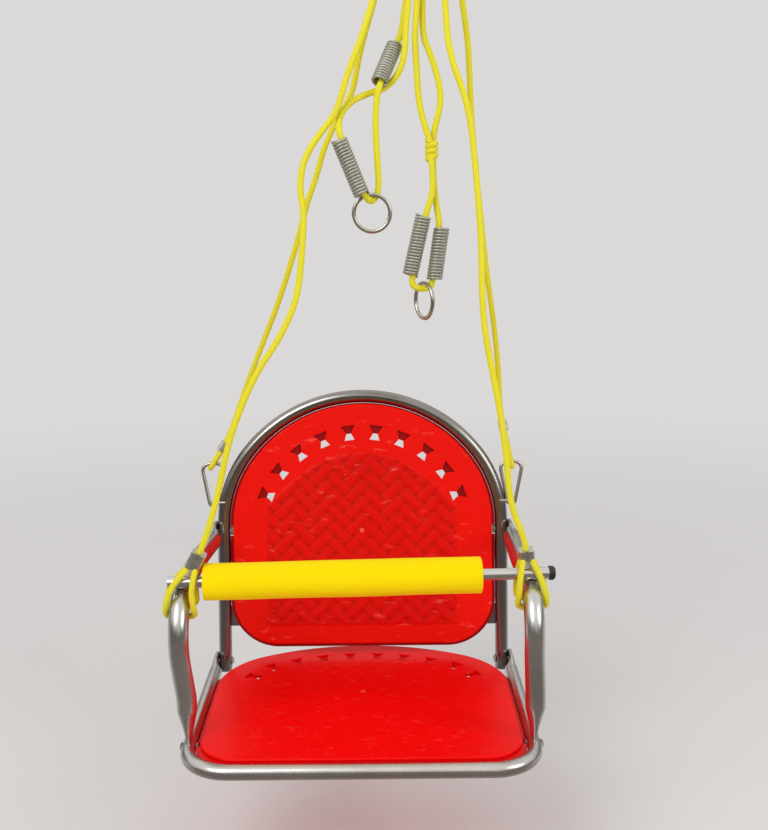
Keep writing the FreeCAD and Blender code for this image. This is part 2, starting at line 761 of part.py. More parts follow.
# Rear eyes: the crimp stands over the triangle ring's top bar
front = V(0, -math.cos(recline), math.sin(recline))
for side, name, eye_height, eye_out in (
        (-1, "left", rear_eye_left_height, rear_eye_left_out),
        (1, "right", rear_eye_right_height, rear_eye_right_out)):
    foot = hoop_point(side * (hoop_half + eye_out), ring_top + eye_height, 0)
    bar = hoop_point(side * bar_x, ring_top, 0)
    way = unit(foot - bar)
    head = foot + way * rear_crimp_length
    block, way = crimp(foot, head, rear_crimp_length, rear_crimp_depth)
    block.rotate(foot, way, 90)
    keep("rear_crimp_" + name, block)
    crimp_heads["rear_" + name] = (head, way)
    hold = ring_wire / 2 + 2 * gap + rope_r
    start = foot + way * rope_bite
    apart = front * (leg_spread / 2)
    low = bar - way * hold
    points = [start + apart, low + front * hold, low - front * hold, start - apart]
    rope("rear_loop_" + name, points, {1: hold * snug_share, 2: hold * snug_share})

# A short rope end above the right rear crimp
head, way = crimp_heads["rear_right"]
tail_start = head - way * rope_bite - front * (leg_spread / 2)
tail_bend = tail_start + way * tail_length
rope("rope_tail_right", [tail_start, tail_bend, tail_bend + way * tail_end + V(*tail_lean)])



# A rope's place in the knot's underside, two rows of four
def knot_spot(column, row):
    low = knot_z - knot_height / 2 + rope_bite
    return (hang_x + column * knot_pitch, hang_y + row * knot_pitch, low)


# The four carrying ropes, from the hanging knot down to the crimps
front_left_route = [
    knot_spot(-1.5, -0.5), (9.2, 118.8, 592.7), (-6.6, 113.6, 555.4),
    (-15.9, 109.1, 522.8), (-26.8, 107.3, 509.4), (-37.8, 105.3, 494.9),
    (-44.9, 103.1, 479.3), (-47.0, 100.5, 460.5), (-43.4, 98.1, 442.7),
    (-45.6, 93.5, 409.7), (-49.7, 88.4, 372.5), (-64.5, 84.1, 340.9),
    (-82.9, 80.5, 314.9), (-95.6, 76.9, 288.9), (-108.4, 72.3, 255.4),
    (-118.2, 65.8, 208.6)]
rear_left_route = [
    knot_spot(-1.5, 0.5), (8.9, 173.1, 601.4), (0.8, 179.6, 572.6),
    (-4.0, 185.8, 545.6), (-17.7, 190.6, 524.7), (-30.7, 196.2, 500.0),
    (-38.2, 202.1, 474.2), (-48.3, 207.8, 449.1), (-57.0, 215.0, 417.3),
    (-76.1, 227.6, 361.8), (-95.3, 237.8, 316.9), (-114.2, 248.2, 271.5)]
front_right_route = [
    knot_spot(1.5, -0.5), (72.6, 120.9, 592.8), (78.7, 117.0, 561.7),
    (87.8, 114.2, 539.0), (93.8, 111.1, 514.4), (97.8, 106.1, 474.2),
    (102.2, 99.4, 419.9), (102.5, 93.2, 370.2), (105.8, 89.1, 337.1),
    (115.3, 83.3, 290.7), (122.3, 77.8, 246.4), (125.6, 72.1, 200.6)]
rear_right_route = [
    knot_spot(1.5, 0.5), (95.3, 175.2, 601.4), (98.9, 186.3, 555.2),
    (102.0, 196.2, 514.1), (110.3, 211.1, 452.6), (119.0, 226.5, 388.8),
    (127.8, 238.3, 340.0), (134.5, 250.3, 290.6)]
for name, route, where in (
        ("front_rope_left", front_left_route, "front_left"), ("rear_rope_left", rear_left_route, "rear_left"),
        ("front_rope_right", front_right_route, "front_right"), ("rear_rope_right", rear_right_route, "rear_right")):
    head, way = crimp_heads[where]
    shift = front * (leg_spread / 2) if where.startswith("rear") else V(0, 0, 0)
    into = head - way * rope_bite + shift
    rope(name, route + [tuple(into + way * rope_lead), tuple(into)])

# The left ring's rope: down through the upper sleeve and the ring, up through the lower
# sleeve, along the left front rope and back to the knot
ring_left_route = [
    knot_spot(-0.5, -0.5), (41.0, 132.5, 594.8), (40.7, 129.6, 577.8),
    (38.3, 128.6, 562.6), (32.6, 130.0, 551.6), (22.8, 132.4, 543.1),
    (10.3, 129.4, 539.6), (-2.9, 122.0, 533.4), (-11.8, 116.2, 524.5),
    (-15.2, 111.2, 514.0), (-13.5, 103.0, 501.8), (5.6, 102.0, 455.7), (12.1, 112.0, 449.3),
    (18.4, 118.6, 460.4), (16.7, 118.8, 483.7), (15.3, 119.0, 513.1),
    (16.5, 119.2, 535.4), (19.4, 120.3, 546.0), (34.0, 140.0, 580.1),
    (39.9, 143.0, 595.7), knot_spot(-0.5, 0.5)]
rope("ring_rope_left", ring_left_route)

# The right ring's rope: two strands to the small knot, one doubled strand below it
strand_a_route = [
    knot_spot(0.5, -0.5), (47.9, 134.2, 595.0), (49.7, 133.6, 565.6),
    (51.6, 132.2, 530.9), (59.0, 131.0, 506.4), (61.4, 130.2, 499.1)]
strand_b_route = [
    knot_spot(0.5, 0.5), (51.1, 140.2, 596.0), (64.0, 139.0, 567.0),
    (72.0, 138.0, 536.2), (65.2, 136.4, 511.6), (63.5, 136.0, 499.3)]
ring_right_route = [
    (61.5, 130.0, 490.0), (64.0, 128.8, 472.7), (62.9, 128.0, 455.4),
    (57.1, 127.0, 439.6), (45.1, 124.0, 387.9), (46.5, 124.5, 378.4),
    (61.5, 126.0, 377.3), (63.4, 126.5, 385.2), (69.8, 131.0, 429.0),
    (67.3, 133.8, 445.4), (64.4, 135.0, 464.6), (64.0, 136.0, 490.3)]
rope("ring_rope_right_a", strand_a_route)
rope("ring_rope_right_b", strand_b_route)
rope("ring_rope_right_low", ring_right_route)
knot_foot = V(*small_knot_place) - V(0, 0, small_knot_height / 2)
small_knot = Part.makeCylinder(small_knot_r, small_knot_height, knot_foot)
small_knot = small_knot.makeFillet(small_knot_round, [e for e in small_knot.Edges if e.Closed])
keep("small_knot", small_knot)


# Spring sleeves: a helix of circle arcs, two for each half turn, with straight ends
def sleeve(name, top, foot, aside):
    way = unit(foot - top)
    length = (foot - top).Length
    turns = round(2 * (length - spring_wire) / spring_pitch) / 2
    radius = (spring_od - spring_wire) / 2
    e1 = unit(aside - way * aside.dot(way))
    e2 = way.cross(e1)
    base = top + way * (length - turns * spring_pitch) * half_share

    def at(angle):
        rise = way * (spring_pitch * angle / (2 * math.pi))
        return base + e1 * (radius * math.cos(angle)) + e2 * (radius * math.sin(angle)) + rise

    def heading(angle):
        turn = e2 * (radius * math.cos(angle)) - e1 * (radius * math.sin(angle))
        return unit(turn + way * (spring_pitch / (2 * math.pi)))

    def one_arc(a, b, ahead):
        chord = b - a
        along = unit(chord)
        aside_way = ahead - along * ahead.dot(along)
        half = math.acos(max(-1.0, min(1.0, ahead.dot(along))))
        bulge = unit(aside_way) * (chord.Length / 2 * math.tan(half / 2))
        return arc(a, (a + b) * half_share + bulge, b)

    edges = [line(at(0) - heading(0) * spring_wire, at(0))]
    steps = int(turns * 2)
    for k in range(steps):
        p0, p1 = at(k * math.pi), at((k + 1) * math.pi)
        t0, t1 = heading(k * math.pi), heading((k + 1) * math.pi)
        v, t = p1 - p0, t0 + t1
        rest = 2 * (1 - t0.dot(t1))
        d = (-v.dot(t) + math.sqrt(v.dot(t) ** 2 + rest * v.dot(v))) / rest
        joint = (p0 + p1 + (t0 - t1) * d) * half_share
        edges.append(one_arc(p0, joint, t0))
        back = one_arc(p1, joint, t1 * -1)
        edges.append(arc(joint, back.valueAt((back.FirstParameter + back.LastParameter) / 2), p1))
    last = steps * math.pi
    edges.append(line(at(last), at(last) + heading(last) * spring_wire))
    solid = round_along(edges, spring_wire / 2)
    samples = [at(k * math.pi / 24) for k in range(steps * 24 + 1)]
    least = min((samples[k] - samples[j]).Length
                for k in range(len(samples)) for j in range(k + 30, min(k + 80, len(samples))))
    long = sum(e.Length for e in edges)
    share = solid.Volume / (math.pi * spring_wire ** 2 / 4 * long)
    reports.append("%s: turns %.1f, length %.1f, least gap to itself %.2f, volume share %.4f" % (
        name, turns, length, least - spring_wire, share))
    keep(name, solid)


# Each sleeve hangs against its rope, which lies along one side of the bore
lie = spring_od / 2 - spring_wire - rope_r - sleeve_gap
for name, route, first, second, aside in (
        ("spring_sleeve_left_low", ring_left_route, 10, 11, V(-1, 0, 0)),
        ("spring_sleeve_left_high", ring_left_route, 18, 17, V(-1, 0, 0)),
        ("spring_sleeve_right_long", ring_right_route, 3, 4, V(-1, 0, 0)),
        ("spring_sleeve_right_short", ring_right_route, 8, 7, V(1, 0, 0))):
    top, foot = V(*route[first]), V(*route[second])
    way = unit(foot - top)
    off = unit(aside - way * aside.dot(way)) * lie
    sleeve(name, top + off, foot + off, aside)


# Hanging rings, each on its rope's lowest point
def loose_ring(name, low, ahead):
    centre = low + V(0, 0, -(loose_ring_r - loose_wire / 2 - gap - rope_r))
    ring = Part.makeTorus(loose_ring_r, loose_wire / 2, centre, ahead)
    keep(name, ring)


loose_ring("hanging_ring_left", V(*ring_left_route[12]) + V(*ring_seat_left), V(0, 1, 0))
ring_turn = math.radians(ring_turn_deg)
ring_way = V(math.cos(ring_turn), math.sin(ring_turn), 0)
loose_ring("hanging_ring_right", V(*ring_right_route[5]) + V(*ring_seat_right), ring_way)

# Hanging knot, the loops over the hook, and the hook itself
knot = Part.makeCylinder(knot_r, knot_height, V(hang_x, hang_y, knot_z - knot_height / 2))
knot = knot.makeFillet(knot_round, [e for e in knot.Edges if e.Closed])
keep("hanging_knot", knot)
knot_top = knot_z + knot_height / 2
saddle = knot_top + loop_drop
over = hook_wire / 2 + loop_gap + rope_r
for name, side in (("hook_loop_left", -1), ("hook_loop_right", 1)):
    x = hang_x + side * loop_spread / 2
    low = knot_top - rope_bite
    points = [(x, hang_y - over, low), (x, hang_y - over, saddle + over),
              (x, hang_y + over, saddle + over), (x, hang_y + over, low)]
    rope(name, points, {1: over * snug_share, 2: over * snug_share})
centre_z = saddle + hook_r
neck_z = centre_z + hook_entry
tip = math.radians(hook_tip_deg)
mount_z = neck_z + neck


def hook_at(x, z):
    return V(hang_x + x, hang_y, z)


# The hook's stem bends away from the middle line and meets the round of the hook at its side
stem_r = (hook_entry ** 2 + hook_r ** 2) / (2 * hook_r) / 2
half_up = centre_z + hook_entry / 2
quarter = math.atan2(hook_entry / 2, stem_r - hook_r / 2)
first_mid = hook_at(-(stem_r - stem_r * math.cos(quarter / 2)), neck_z - stem_r * math.sin(quarter / 2))
second_mid = hook_at(-hook_r + (stem_r - stem_r * math.cos(quarter / 2)), centre_z + stem_r * math.sin(quarter / 2))
hook_edges = [
    line(hook_at(0, mount_z), hook_at(0, neck_z)),
    arc(hook_at(0, neck_z), first_mid, hook_at(-hook_r / 2, half_up)),
    arc(hook_at(-hook_r / 2, half_up), second_mid, hook_at(-hook_r, centre_z)),
    arc(hook_at(-hook_r, centre_z), hook_at(0, centre_z - hook_r), hook_at(hook_r, centre_z)),
    arc(hook_at(hook_r, centre_z), hook_at(hook_r * math.cos(tip / 2), centre_z + hook_r * math.sin(tip / 2)),
        hook_at(hook_r * math.cos(tip), centre_z + hook_r * math.sin(tip)))]
hook = round_along(hook_edges, hook_wire / 2)
hook = hook.fuse(Part.makeCylinder(collar_r, collar, V(hang_x, hang_y, mount_z - collar)))
hook = hook.fuse(Part.makeCylinder(shank_r, shank_length, V(hang_x, hang_y, mount_z)))
keep("ceiling_hook", hook.removeSplitter())

# Write the pieces, moved so that the hook's mounting face is the origin
origin = V(hang_x, hang_y, mount_z)
for name, shape in made.items():
    moved = shape.copy()
    moved.translate(origin * -1)
    solids = moved.Solids
    if not moved.isValid() or not solids:
        reports.append("%s: not valid" % name)
    moved.exportStep("parts/%s.step" % name)
    reports.append("%s: %d solids, %.1f mm3" % (name, len(solids), moved.Volume))
print("\n".join(reports))
print("origin %.2f %.2f %.2f" % tuple(origin))
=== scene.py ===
import bpy
import math
import numpy as np
from mathutils import Matrix, Vector


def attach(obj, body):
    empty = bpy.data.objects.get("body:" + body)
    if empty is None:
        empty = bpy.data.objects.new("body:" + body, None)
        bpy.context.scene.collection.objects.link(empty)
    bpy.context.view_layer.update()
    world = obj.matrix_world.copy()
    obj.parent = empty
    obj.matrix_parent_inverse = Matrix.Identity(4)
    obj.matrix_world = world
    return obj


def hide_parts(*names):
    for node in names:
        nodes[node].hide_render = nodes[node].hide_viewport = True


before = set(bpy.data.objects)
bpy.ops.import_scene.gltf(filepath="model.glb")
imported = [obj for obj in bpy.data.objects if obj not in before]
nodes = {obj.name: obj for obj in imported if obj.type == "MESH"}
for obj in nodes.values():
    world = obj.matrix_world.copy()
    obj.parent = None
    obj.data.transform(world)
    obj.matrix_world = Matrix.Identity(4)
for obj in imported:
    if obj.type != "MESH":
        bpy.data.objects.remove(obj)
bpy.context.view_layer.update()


# The photographer's place, a little above the armrests and almost straight in front, looking ten
# degrees down. The swing is measured in millimetres from its seat's front tube, while the scene is in
# metres from the ceiling, so every place is turned from one to the other here.
ceiling_place = (59.6, 147.0, 844.4)
camera_place = (13.8, -818.5, 442.4)
photo_width = 768
focal_pixels = 1100
sensor_width = 36.0


def seat(points):
    """Metres from the ceiling: the seat's millimetres, less the ceiling's place over the seat, by 1000."""
    return (np.array(points, float) - ceiling_place) / 1000


pitch, yaw, roll = np.radians((10.46, 0.44, -0.36))
ahead = Vector((math.sin(yaw) * math.cos(pitch), math.cos(yaw) * math.cos(pitch), -math.sin(pitch)))
level = Vector((math.cos(yaw), -math.sin(yaw), 0))
upward = level.cross(ahead)
right = level * math.cos(roll) + upward * math.sin(roll)
upward = upward * math.cos(roll) - level * math.sin(roll)
camera = bpy.data.objects.new("camera", bpy.data.cameras.new("camera"))
camera.data.sensor_fit = "HORIZONTAL"
camera.data.sensor_width = sensor_width
camera.data.lens = sensor_width * focal_pixels / photo_width
turned = Matrix((right, upward, -ahead)).transposed().to_4x4()
camera.matrix_world = Matrix.Translation(Vector(seat(camera_place))) @ turned
bpy.context.scene.collection.objects.link(camera)
bpy.context.scene.camera = camera


# Yellow braided rope, 5.5 mm, limp polypropylene with sixteen yarns plaited over a core. Seventeen
# lengths of it carry the frame, the rings and the safety bar, and each follows its own route.
rope_radius = 0.00275
yarns_each_way = 8
yarn_lay = 0.021
yarn_relief = 0.00042
yarn_over = 0.62
yarn_under = 0.38


def rope_line(name, points, step=0.0006):
    """A NURBS spline with the route's points as its control points, read back at even steps."""
    curve = bpy.data.curves.new(name + "_line", "CURVE")
    curve.dimensions = "3D"
    curve.resolution_u = 32
    spline = curve.splines.new("NURBS")
    spline.points.add(len(points) - 1)
    spline.points.foreach_set("co", np.c_[seat(points), np.ones(len(points))].ravel())
    spline.order_u = 3
    spline.use_endpoint_u = True
    guide = bpy.data.objects.new(name + "_line", curve)
    drawn = bpy.data.meshes.new_from_object(guide)
    line = np.empty(3 * len(drawn.vertices))
    drawn.vertices.foreach_get("co", line)
    line = line.reshape(-1, 3)
    bpy.data.meshes.remove(drawn)
    bpy.data.objects.remove(guide)
    bpy.data.curves.remove(curve)
    walked = np.r_[0, np.cumsum(np.linalg.norm(np.diff(line, axis=0), axis=1))]
    even = np.linspace(0, walked[-1], int(walked[-1] / step) + 2)
    return np.stack([np.interp(even, walked, line[:, k]) for k in range(3)], 1)


def across(line):
    """Two directions square to a line. A fixed direction gives them, and the turning that it adds is
    summed along the line and taken out again, so that nothing drawn round the line is twisted."""
    along = np.gradient(line, axis=0)
    along /= np.linalg.norm(along, axis=1)[:, None]
    tries = np.array([(1, 0, 0), (0, 1, 0), (0, 0, 1), (1, 1, 0), (1, -1, 0), (1, 0, 1), (0, 1, 1),
                      (1, 1, 1)], float)
    clear = [np.linalg.norm(np.cross(along, t / np.linalg.norm(t)), axis=1).min() for t in tries]
    side = np.cross(along, tries[int(np.argmax(clear))])
    side /= np.linalg.norm(side, axis=1)[:, None]
    other = np.cross(along, side)
    turn = np.r_[0, np.cumsum(np.arcsin(np.clip((side[1:] * other[:-1]).sum(1), -1, 1)))][:, None]
    return side * np.cos(turn) - other * np.sin(turn), side * np.sin(turn) + other * np.cos(turn)


def round_piece(name, line, radius, height=None):
    """A surface of rings: a ring's point is the line's point plus the radius at that place and angle
    times the direction at that angle. Both ends are closed. height goes with each point as 'relief'."""
    rings, around = radius.shape
    side, other = across(line)
    angle = np.arange(around) * 2 * np.pi / around
    out = side[:, None] * np.cos(angle)[None, :, None] + other[:, None] * np.sin(angle)[None, :, None]
    places = (line[:, None] + out * radius[..., None]).reshape(-1, 3)
    row, column = np.meshgrid(np.arange(rings - 1), np.arange(around), indexing="ij")
    following = (column + 1) % around
    quads = np.stack([row * around + column, row * around + following,
                      (row + 1) * around + following, (row + 1) * around + column], -1).reshape(-1, 4)
    last = (rings - 1) * around
    faces = quads.tolist() + [list(range(around - 1, -1, -1)), list(range(last, last + around))]
    mesh = bpy.data.meshes.new(name)
    mesh.from_pydata(places.tolist(), [], faces)
    walked = np.r_[0, np.cumsum(np.linalg.norm(np.diff(line, axis=0), axis=1))]
    turn = np.stack([column, column + 1, column + 1, column], -1) / around
    length = np.stack([walked[row], walked[row], walked[row + 1], walked[row + 1]], -1)
    ends = np.stack([np.cos(angle), np.sin(angle)], -1) * radius[0].mean()
    mesh.uv_layers.new(name="UVMap").data.foreach_set(
        "uv", np.r_[np.stack([turn, length], -1).reshape(-1, 2), ends[::-1], ends].ravel())
    if height is not None:
        relief = mesh.attributes.new("relief", "FLOAT", "POINT")
        relief.data.foreach_set("value", height.astype(np.float32).ravel())
    mesh.shade_smooth()
    piece = bpy.data.objects.new(name, mesh)
    bpy.context.scene.collection.objects.link(piece)
    return piece


def braid(line, around=36):
    """Height of plaited yarn from 0 to 1. Two sets of helices cut the surface into lozenges, numbered
    both ways; where the numbers add up to an even one the first set is on top, otherwise the second."""
    walked = np.r_[0, np.cumsum(np.linalg.norm(np.diff(line, axis=0), axis=1))][:, None]
    angle = (np.arange(around) / around)[None]
    one = yarns_each_way * (angle + walked / yarn_lay)
    two = yarns_each_way * (angle - walked / yarn_lay)
    crown_one = 1 - (2 * (one % 1) - 1) ** 2
    crown_two = 1 - (2 * (two % 1) - 1) ** 2
    first = (np.floor(one) + np.floor(two)) % 2 == 0
    return np.where(first, yarn_over * crown_one + yarn_under * crown_two,
                    yarn_under * crown_one + yarn_over * crown_two)


def braided_rope(name, points, stands_for):
    """A length of the rope in place of its CAD node, and its centre line."""
    line = rope_line(name, points)
    height = braid(line)
    piece = round_piece(name, line, rope_radius - yarn_relief * (1 - height), height)
    piece.data.materials.append(rope_yellow)
    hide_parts(stands_for)
    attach(piece, "swing")
    return piece, line


def sRGB(red, green, blue):
    """A colour in screen values, 0 to 255, as the linear colour that a shader takes."""
    share = np.array((red, green, blue)) / 255
    return (*np.where(share <= 0.04045, share / 12.92, ((share + 0.055) / 1.055) ** 2.4), 1.0)


def add(tree, kind, inputs=(), **settings):
    """One shader node: its settings, and its inputs as plain values or as sockets to join."""
    node = tree.nodes.new(kind)
    for key, value in settings.items():
        setattr(node, key, value)
    for key, value in dict(inputs).items():
        if isinstance(value, bpy.types.NodeSocket):
            tree.links.new(value, node.inputs[key])
        else:
            node.inputs[key].default_value = value
    return node


def sum_of(tree, operation, *values):
    """The result of one Math node."""
    return add(tree, "ShaderNodeMath", enumerate(values), operation=operation).outputs[0]


def effect(name, takes, gives):
    """An empty node group with its named inputs and outputs, and its two end nodes."""
    group = bpy.data.node_groups.new(name, "ShaderNodeTree")
    for label, kind, value in takes:
        socket = group.interface.new_socket(label, in_out="INPUT", socket_type="NodeSocket" + kind)
        socket.default_value = value
    for label, kind in gives:
        group.interface.new_socket(label, in_out="OUTPUT", socket_type="NodeSocket" + kind)
    return group, group.nodes.new("NodeGroupInput"), group.nodes.new("NodeGroupOutput")


def mapped(tree, value, low, high, to_low=0.0, to_high=1.0, **settings):
    """A value carried from the range low to high into another one, and held at that one's ends."""
    return add(tree, "ShaderNodeMapRange", {0: value, 1: low, 2: high, 3: to_low, 4: to_high},
               **settings).outputs[0]


def eased(tree, value, low, high):
    """0 at low and 1 at high, with a soft start and a soft end."""
    return mapped(tree, value, low, high, interpolation_type="SMOOTHSTEP")


def blended(tree, share, low, high):
    """The colour low where the share is 0, high where it is 1, and between them a mix of the two."""
    mix = add(tree, "ShaderNodeMix", {0: share, 6: low, 7: high}, data_type="RGBA")
    return mix.outputs[2]


def bumped(tree, height, strength, distance, **sockets):
    """A normal that leans with a height; distance is the height's reach in metres."""
    return add(tree, "ShaderNodeBump", {"Height": height, "Strength": strength, "Distance": distance,
                                        **sockets}).outputs[0]


def finish_of(name, **sockets):
    """A material with one Principled shader, whose plain values are given by socket name."""
    material = bpy.data.materials.new(name)
    material.use_nodes = True
    tree = material.node_tree
    shader = tree.nodes["Principled BSDF"]
    for key, value in sockets.items():
        shader.inputs[key.replace("_", " ")].default_value = value
    return material, tree, shader


# Handling marks are shared by every finish: a cloudy tone and a fine grain.
marks, taken, given = effect(
    "handling_marks",
    [("Cloud Size", "Float", 14.0), ("Grain Size", "Float", 900.0), ("Cloud", "Float", 0.5),
     ("Grain", "Float", 0.3)],
    [("Tone", "Float"), ("Height", "Float")])
where = add(marks, "ShaderNodeTexCoord").outputs["Object"]
cloud = add(marks, "ShaderNodeTexNoise", {
    "Vector": where, "Scale": taken.outputs["Cloud Size"], "Detail": 4.0, "Roughness": 0.6}).outputs["Fac"]
grain = add(marks, "ShaderNodeTexNoise", {
    "Vector": where, "Scale": taken.outputs["Grain Size"], "Detail": 2.0}).outputs["Fac"]
cloudy = sum_of(marks, "MULTIPLY", sum_of(marks, "SUBTRACT", cloud, 0.5), taken.outputs["Cloud"])
grainy = sum_of(marks, "MULTIPLY", sum_of(marks, "SUBTRACT", grain, 0.5), taken.outputs["Grain"])
marks.links.new(sum_of(marks, "ADD", sum_of(marks, "ADD", cloudy, grainy), 0.5), given.inputs["Tone"])
marks.links.new(grain, given.inputs["Height"])


def marked(tree, cloud_size, grain_size, cloud, grain):
    """The marks placed in a material, with its own sizes and strengths: its outputs Tone and Height."""
    group = add(tree, "ShaderNodeGroup", node_tree=marks)
    for key, value in (("Cloud Size", cloud_size), ("Grain Size", grain_size), ("Cloud", cloud),
                       ("Grain", grain)):
        group.inputs[key].default_value = value
    return group.outputs


rope_yellow, tree, shader = finish_of("rope_yellow", Roughness=0.62, Sheen_Weight=0.15)
tone = marked(tree, 22.0, 1500.0, 0.5, 0.5)
relief = add(tree, "ShaderNodeAttribute", attribute_name="relief").outputs["Fac"]
# Painted shade: where the braid's relief is low, between the yarns and between the knot's strands, the
# yellow darkens towards a deep ochre.
depth = mapped(tree, relief, 0.1, 0.75)
lit = blended(tree, tone["Tone"], sRGB(226, 214, 6), sRGB(252, 244, 22))
tree.links.new(blended(tree, depth, sRGB(178, 158, 0), lit), shader.inputs["Base Color"])
fibre = add(tree, "ShaderNodeTexWave", {
    "Vector": add(tree, "ShaderNodeTexCoord").outputs["UV"], "Scale": 420.0, "Distortion": 3.0,
    "Detail": 1.0}, bands_direction="Y").outputs["Fac"]
tree.links.new(bumped(tree, fibre, 0.25, 0.0002), shader.inputs["Normal"])


# The four carrying ropes come down from the knot under the ceiling hook to the two front and the two
# rear crimps. The front ones run to the arms, the rear ones to the rings on the hoop.
carrying = {
    "front_rope_left": [
        (51.05, 144.15, 733.8), (9.2, 118.8, 592.7), (-6.6, 113.6, 555.4), (-15.9, 109.1, 522.8),
        (-26.8, 107.3, 509.4), (-37.8, 105.3, 494.9), (-44.9, 103.1, 479.3), (-47.0, 100.5, 460.5),
        (-43.4, 98.1, 442.7), (-45.6, 93.5, 409.7), (-49.7, 88.4, 372.5), (-64.5, 84.1, 340.9),
        (-82.9, 80.5, 314.9), (-95.6, 76.9, 288.9), (-108.4, 72.3, 255.4), (-118.2, 65.8, 208.6),
        (-129.49, 60.47, 172.76), (-134.84, 61.23, 162.04)],
    "rear_rope_left": [
        (51.05, 149.85, 733.8), (8.9, 173.1, 601.4), (0.8, 179.6, 572.6), (-4.0, 185.8, 545.6),
        (-17.7, 190.6, 524.7), (-30.7, 196.2, 500.0), (-38.2, 202.1, 474.2), (-48.3, 207.8, 449.1),
        (-57.0, 215.0, 417.3), (-76.1, 227.6, 361.8), (-95.3, 237.8, 316.9), (-114.2, 248.2, 271.5),
        (-131.36, 258.19, 224.91), (-137.57, 256.58, 214.77)],
    "front_rope_right": [
        (68.15, 144.15, 733.8), (72.6, 120.9, 592.8), (78.7, 117.0, 561.7), (87.8, 114.2, 539.0),
        (93.8, 111.1, 514.4), (97.8, 106.1, 474.2), (102.2, 99.4, 419.9), (102.5, 93.2, 370.2),
        (105.8, 89.1, 337.1), (115.3, 83.3, 290.7), (122.3, 77.8, 246.4), (125.6, 72.1, 200.6),
        (138.22, 68.02, 171.72), (139.54, 69.34, 159.87)],
    "rear_rope_right": [
        (68.15, 149.85, 733.8), (95.3, 175.2, 601.4), (98.9, 186.3, 555.2), (102.0, 196.2, 514.1),
        (110.3, 211.1, 452.6), (119.0, 226.5, 388.8), (127.8, 238.3, 340.0), (134.5, 250.3, 290.6),
        (138.24, 261.36, 244.97), (140.81, 259.53, 233.39)]}
for name, points in carrying.items():
    rope, line = braided_rope("braided_" + name, points, name)

# The two hanging rings' ropes. The left one runs down and up again through its ring and rests against
# the left front rope; the right one is two strands, a small knot, and a doubled strand.
loose = {
    "ring_rope_left": [
        (56.75, 144.15, 733.8), (41.0, 132.5, 594.8), (40.7, 129.6, 577.8), (38.3, 128.6, 562.6),
        (32.6, 130.0, 551.6), (22.8, 132.4, 543.1), (10.3, 129.4, 539.6), (-2.9, 122.0, 533.4),
        (-11.8, 116.2, 524.5), (-15.2, 111.2, 514.0), (-13.5, 103.0, 501.8), (5.6, 102.0, 455.7),
        (12.1, 112.0, 449.3), (18.4, 118.6, 460.4), (16.7, 118.8, 483.7), (15.3, 119.0, 513.1),
        (16.5, 119.2, 535.4), (19.4, 120.3, 546.0), (34.0, 140.0, 580.1), (39.9, 143.0, 595.7),
        (56.75, 149.85, 733.8)],
    "ring_rope_right_a": [
        (62.45, 144.15, 733.8), (47.9, 134.2, 595.0), (49.7, 133.6, 565.6), (51.6, 132.2, 530.9),
        (59.0, 131.0, 506.4), (61.4, 130.2, 499.1)],
    "ring_rope_right_b": [
        (62.45, 149.85, 733.8), (51.1, 140.2, 596.0), (64.0, 139.0, 567.0), (72.0, 138.0, 536.2),
        (65.2, 136.4, 511.6), (63.5, 136.0, 499.3)],
    "ring_rope_right_low": [
        (61.5, 130.0, 490.0), (64.0, 128.8, 472.7), (62.9, 128.0, 455.4), (57.1, 127.0, 439.6),
        (45.1, 124.0, 387.9), (46.5, 124.5, 378.4), (61.5, 126.0, 377.3), (63.4, 126.5, 385.2),
        (69.8, 131.0, 429.0), (67.3, 133.8, 445.4), (64.4, 135.0, 464.6), (64.0, 136.0, 490.3)]}
for name, points in loose.items():
    rope, line = braided_rope("braided_" + name, points, name)

# Slings tie each arm to its front rope: one loop before and one behind the safety bar, which slides
# and turns between them. The rear loops hold the triangle rings, and one rope end stands free.
tied = {
    "sling_left_fore": [
        (-141.76, 58.91, 154.01), (-157.17, 53.05, 139.28), (-162.95, 52.73, 118.1),
        (-162.95, 62.64, 108.43), (-139.05, 62.64, 108.43), (-139.05, 52.73, 118.1),
        (-140.44, 53.05, 139.28), (-135.96, 58.91, 154.01)],
    "sling_left_aft": [
        (-141.76, 64.71, 154.01), (-157.17, 70.95, 139.28), (-162.95, 68.64, 128.55),
        (-162.95, 72.24, 115.15), (-139.05, 72.24, 115.15), (-139.05, 68.64, 128.55),
        (-140.44, 70.95, 139.28), (-135.96, 64.71, 154.01)],
    "sling_right_fore": [
        (136.97, 66.77, 156.9), (133.94, 61.05, 141.89), (132.55, 59.87, 123.77),
        (132.55, 66.69, 112.07), (156.45, 66.69, 112.07), (156.45, 59.87, 123.77),
        (150.67, 61.05, 141.89), (142.77, 66.77, 156.9)],
    "sling_right_aft": [
        (136.97, 72.57, 156.9), (133.94, 78.95, 141.89), (132.55, 77.06, 131.0),
        (132.55, 77.92, 116.73), (156.45, 77.92, 116.73), (156.45, 77.06, 131.0),
        (150.67, 78.95, 141.89), (142.77, 72.57, 156.9)],
    "rear_loop_left": [
        (-139.65, 256.05, 211.4), (-151.74, 250.7, 192.02), (-151.74, 260.87, 190.41),
        (-139.65, 261.77, 210.49)],
    "rear_loop_right": [
        (141.66, 258.92, 229.54), (150.17, 250.6, 191.41), (150.17, 260.77, 189.8),
        (141.66, 264.65, 228.63)]}
for name, points in tied.items():
    rope, line = braided_rope("braided_" + name, points, name)
braided_rope("rope_end_right", [
    (140.81, 265.26, 232.48), (138.89, 266.63, 241.17), (139.39, 269.2, 247.92)], "rope_tail_right")

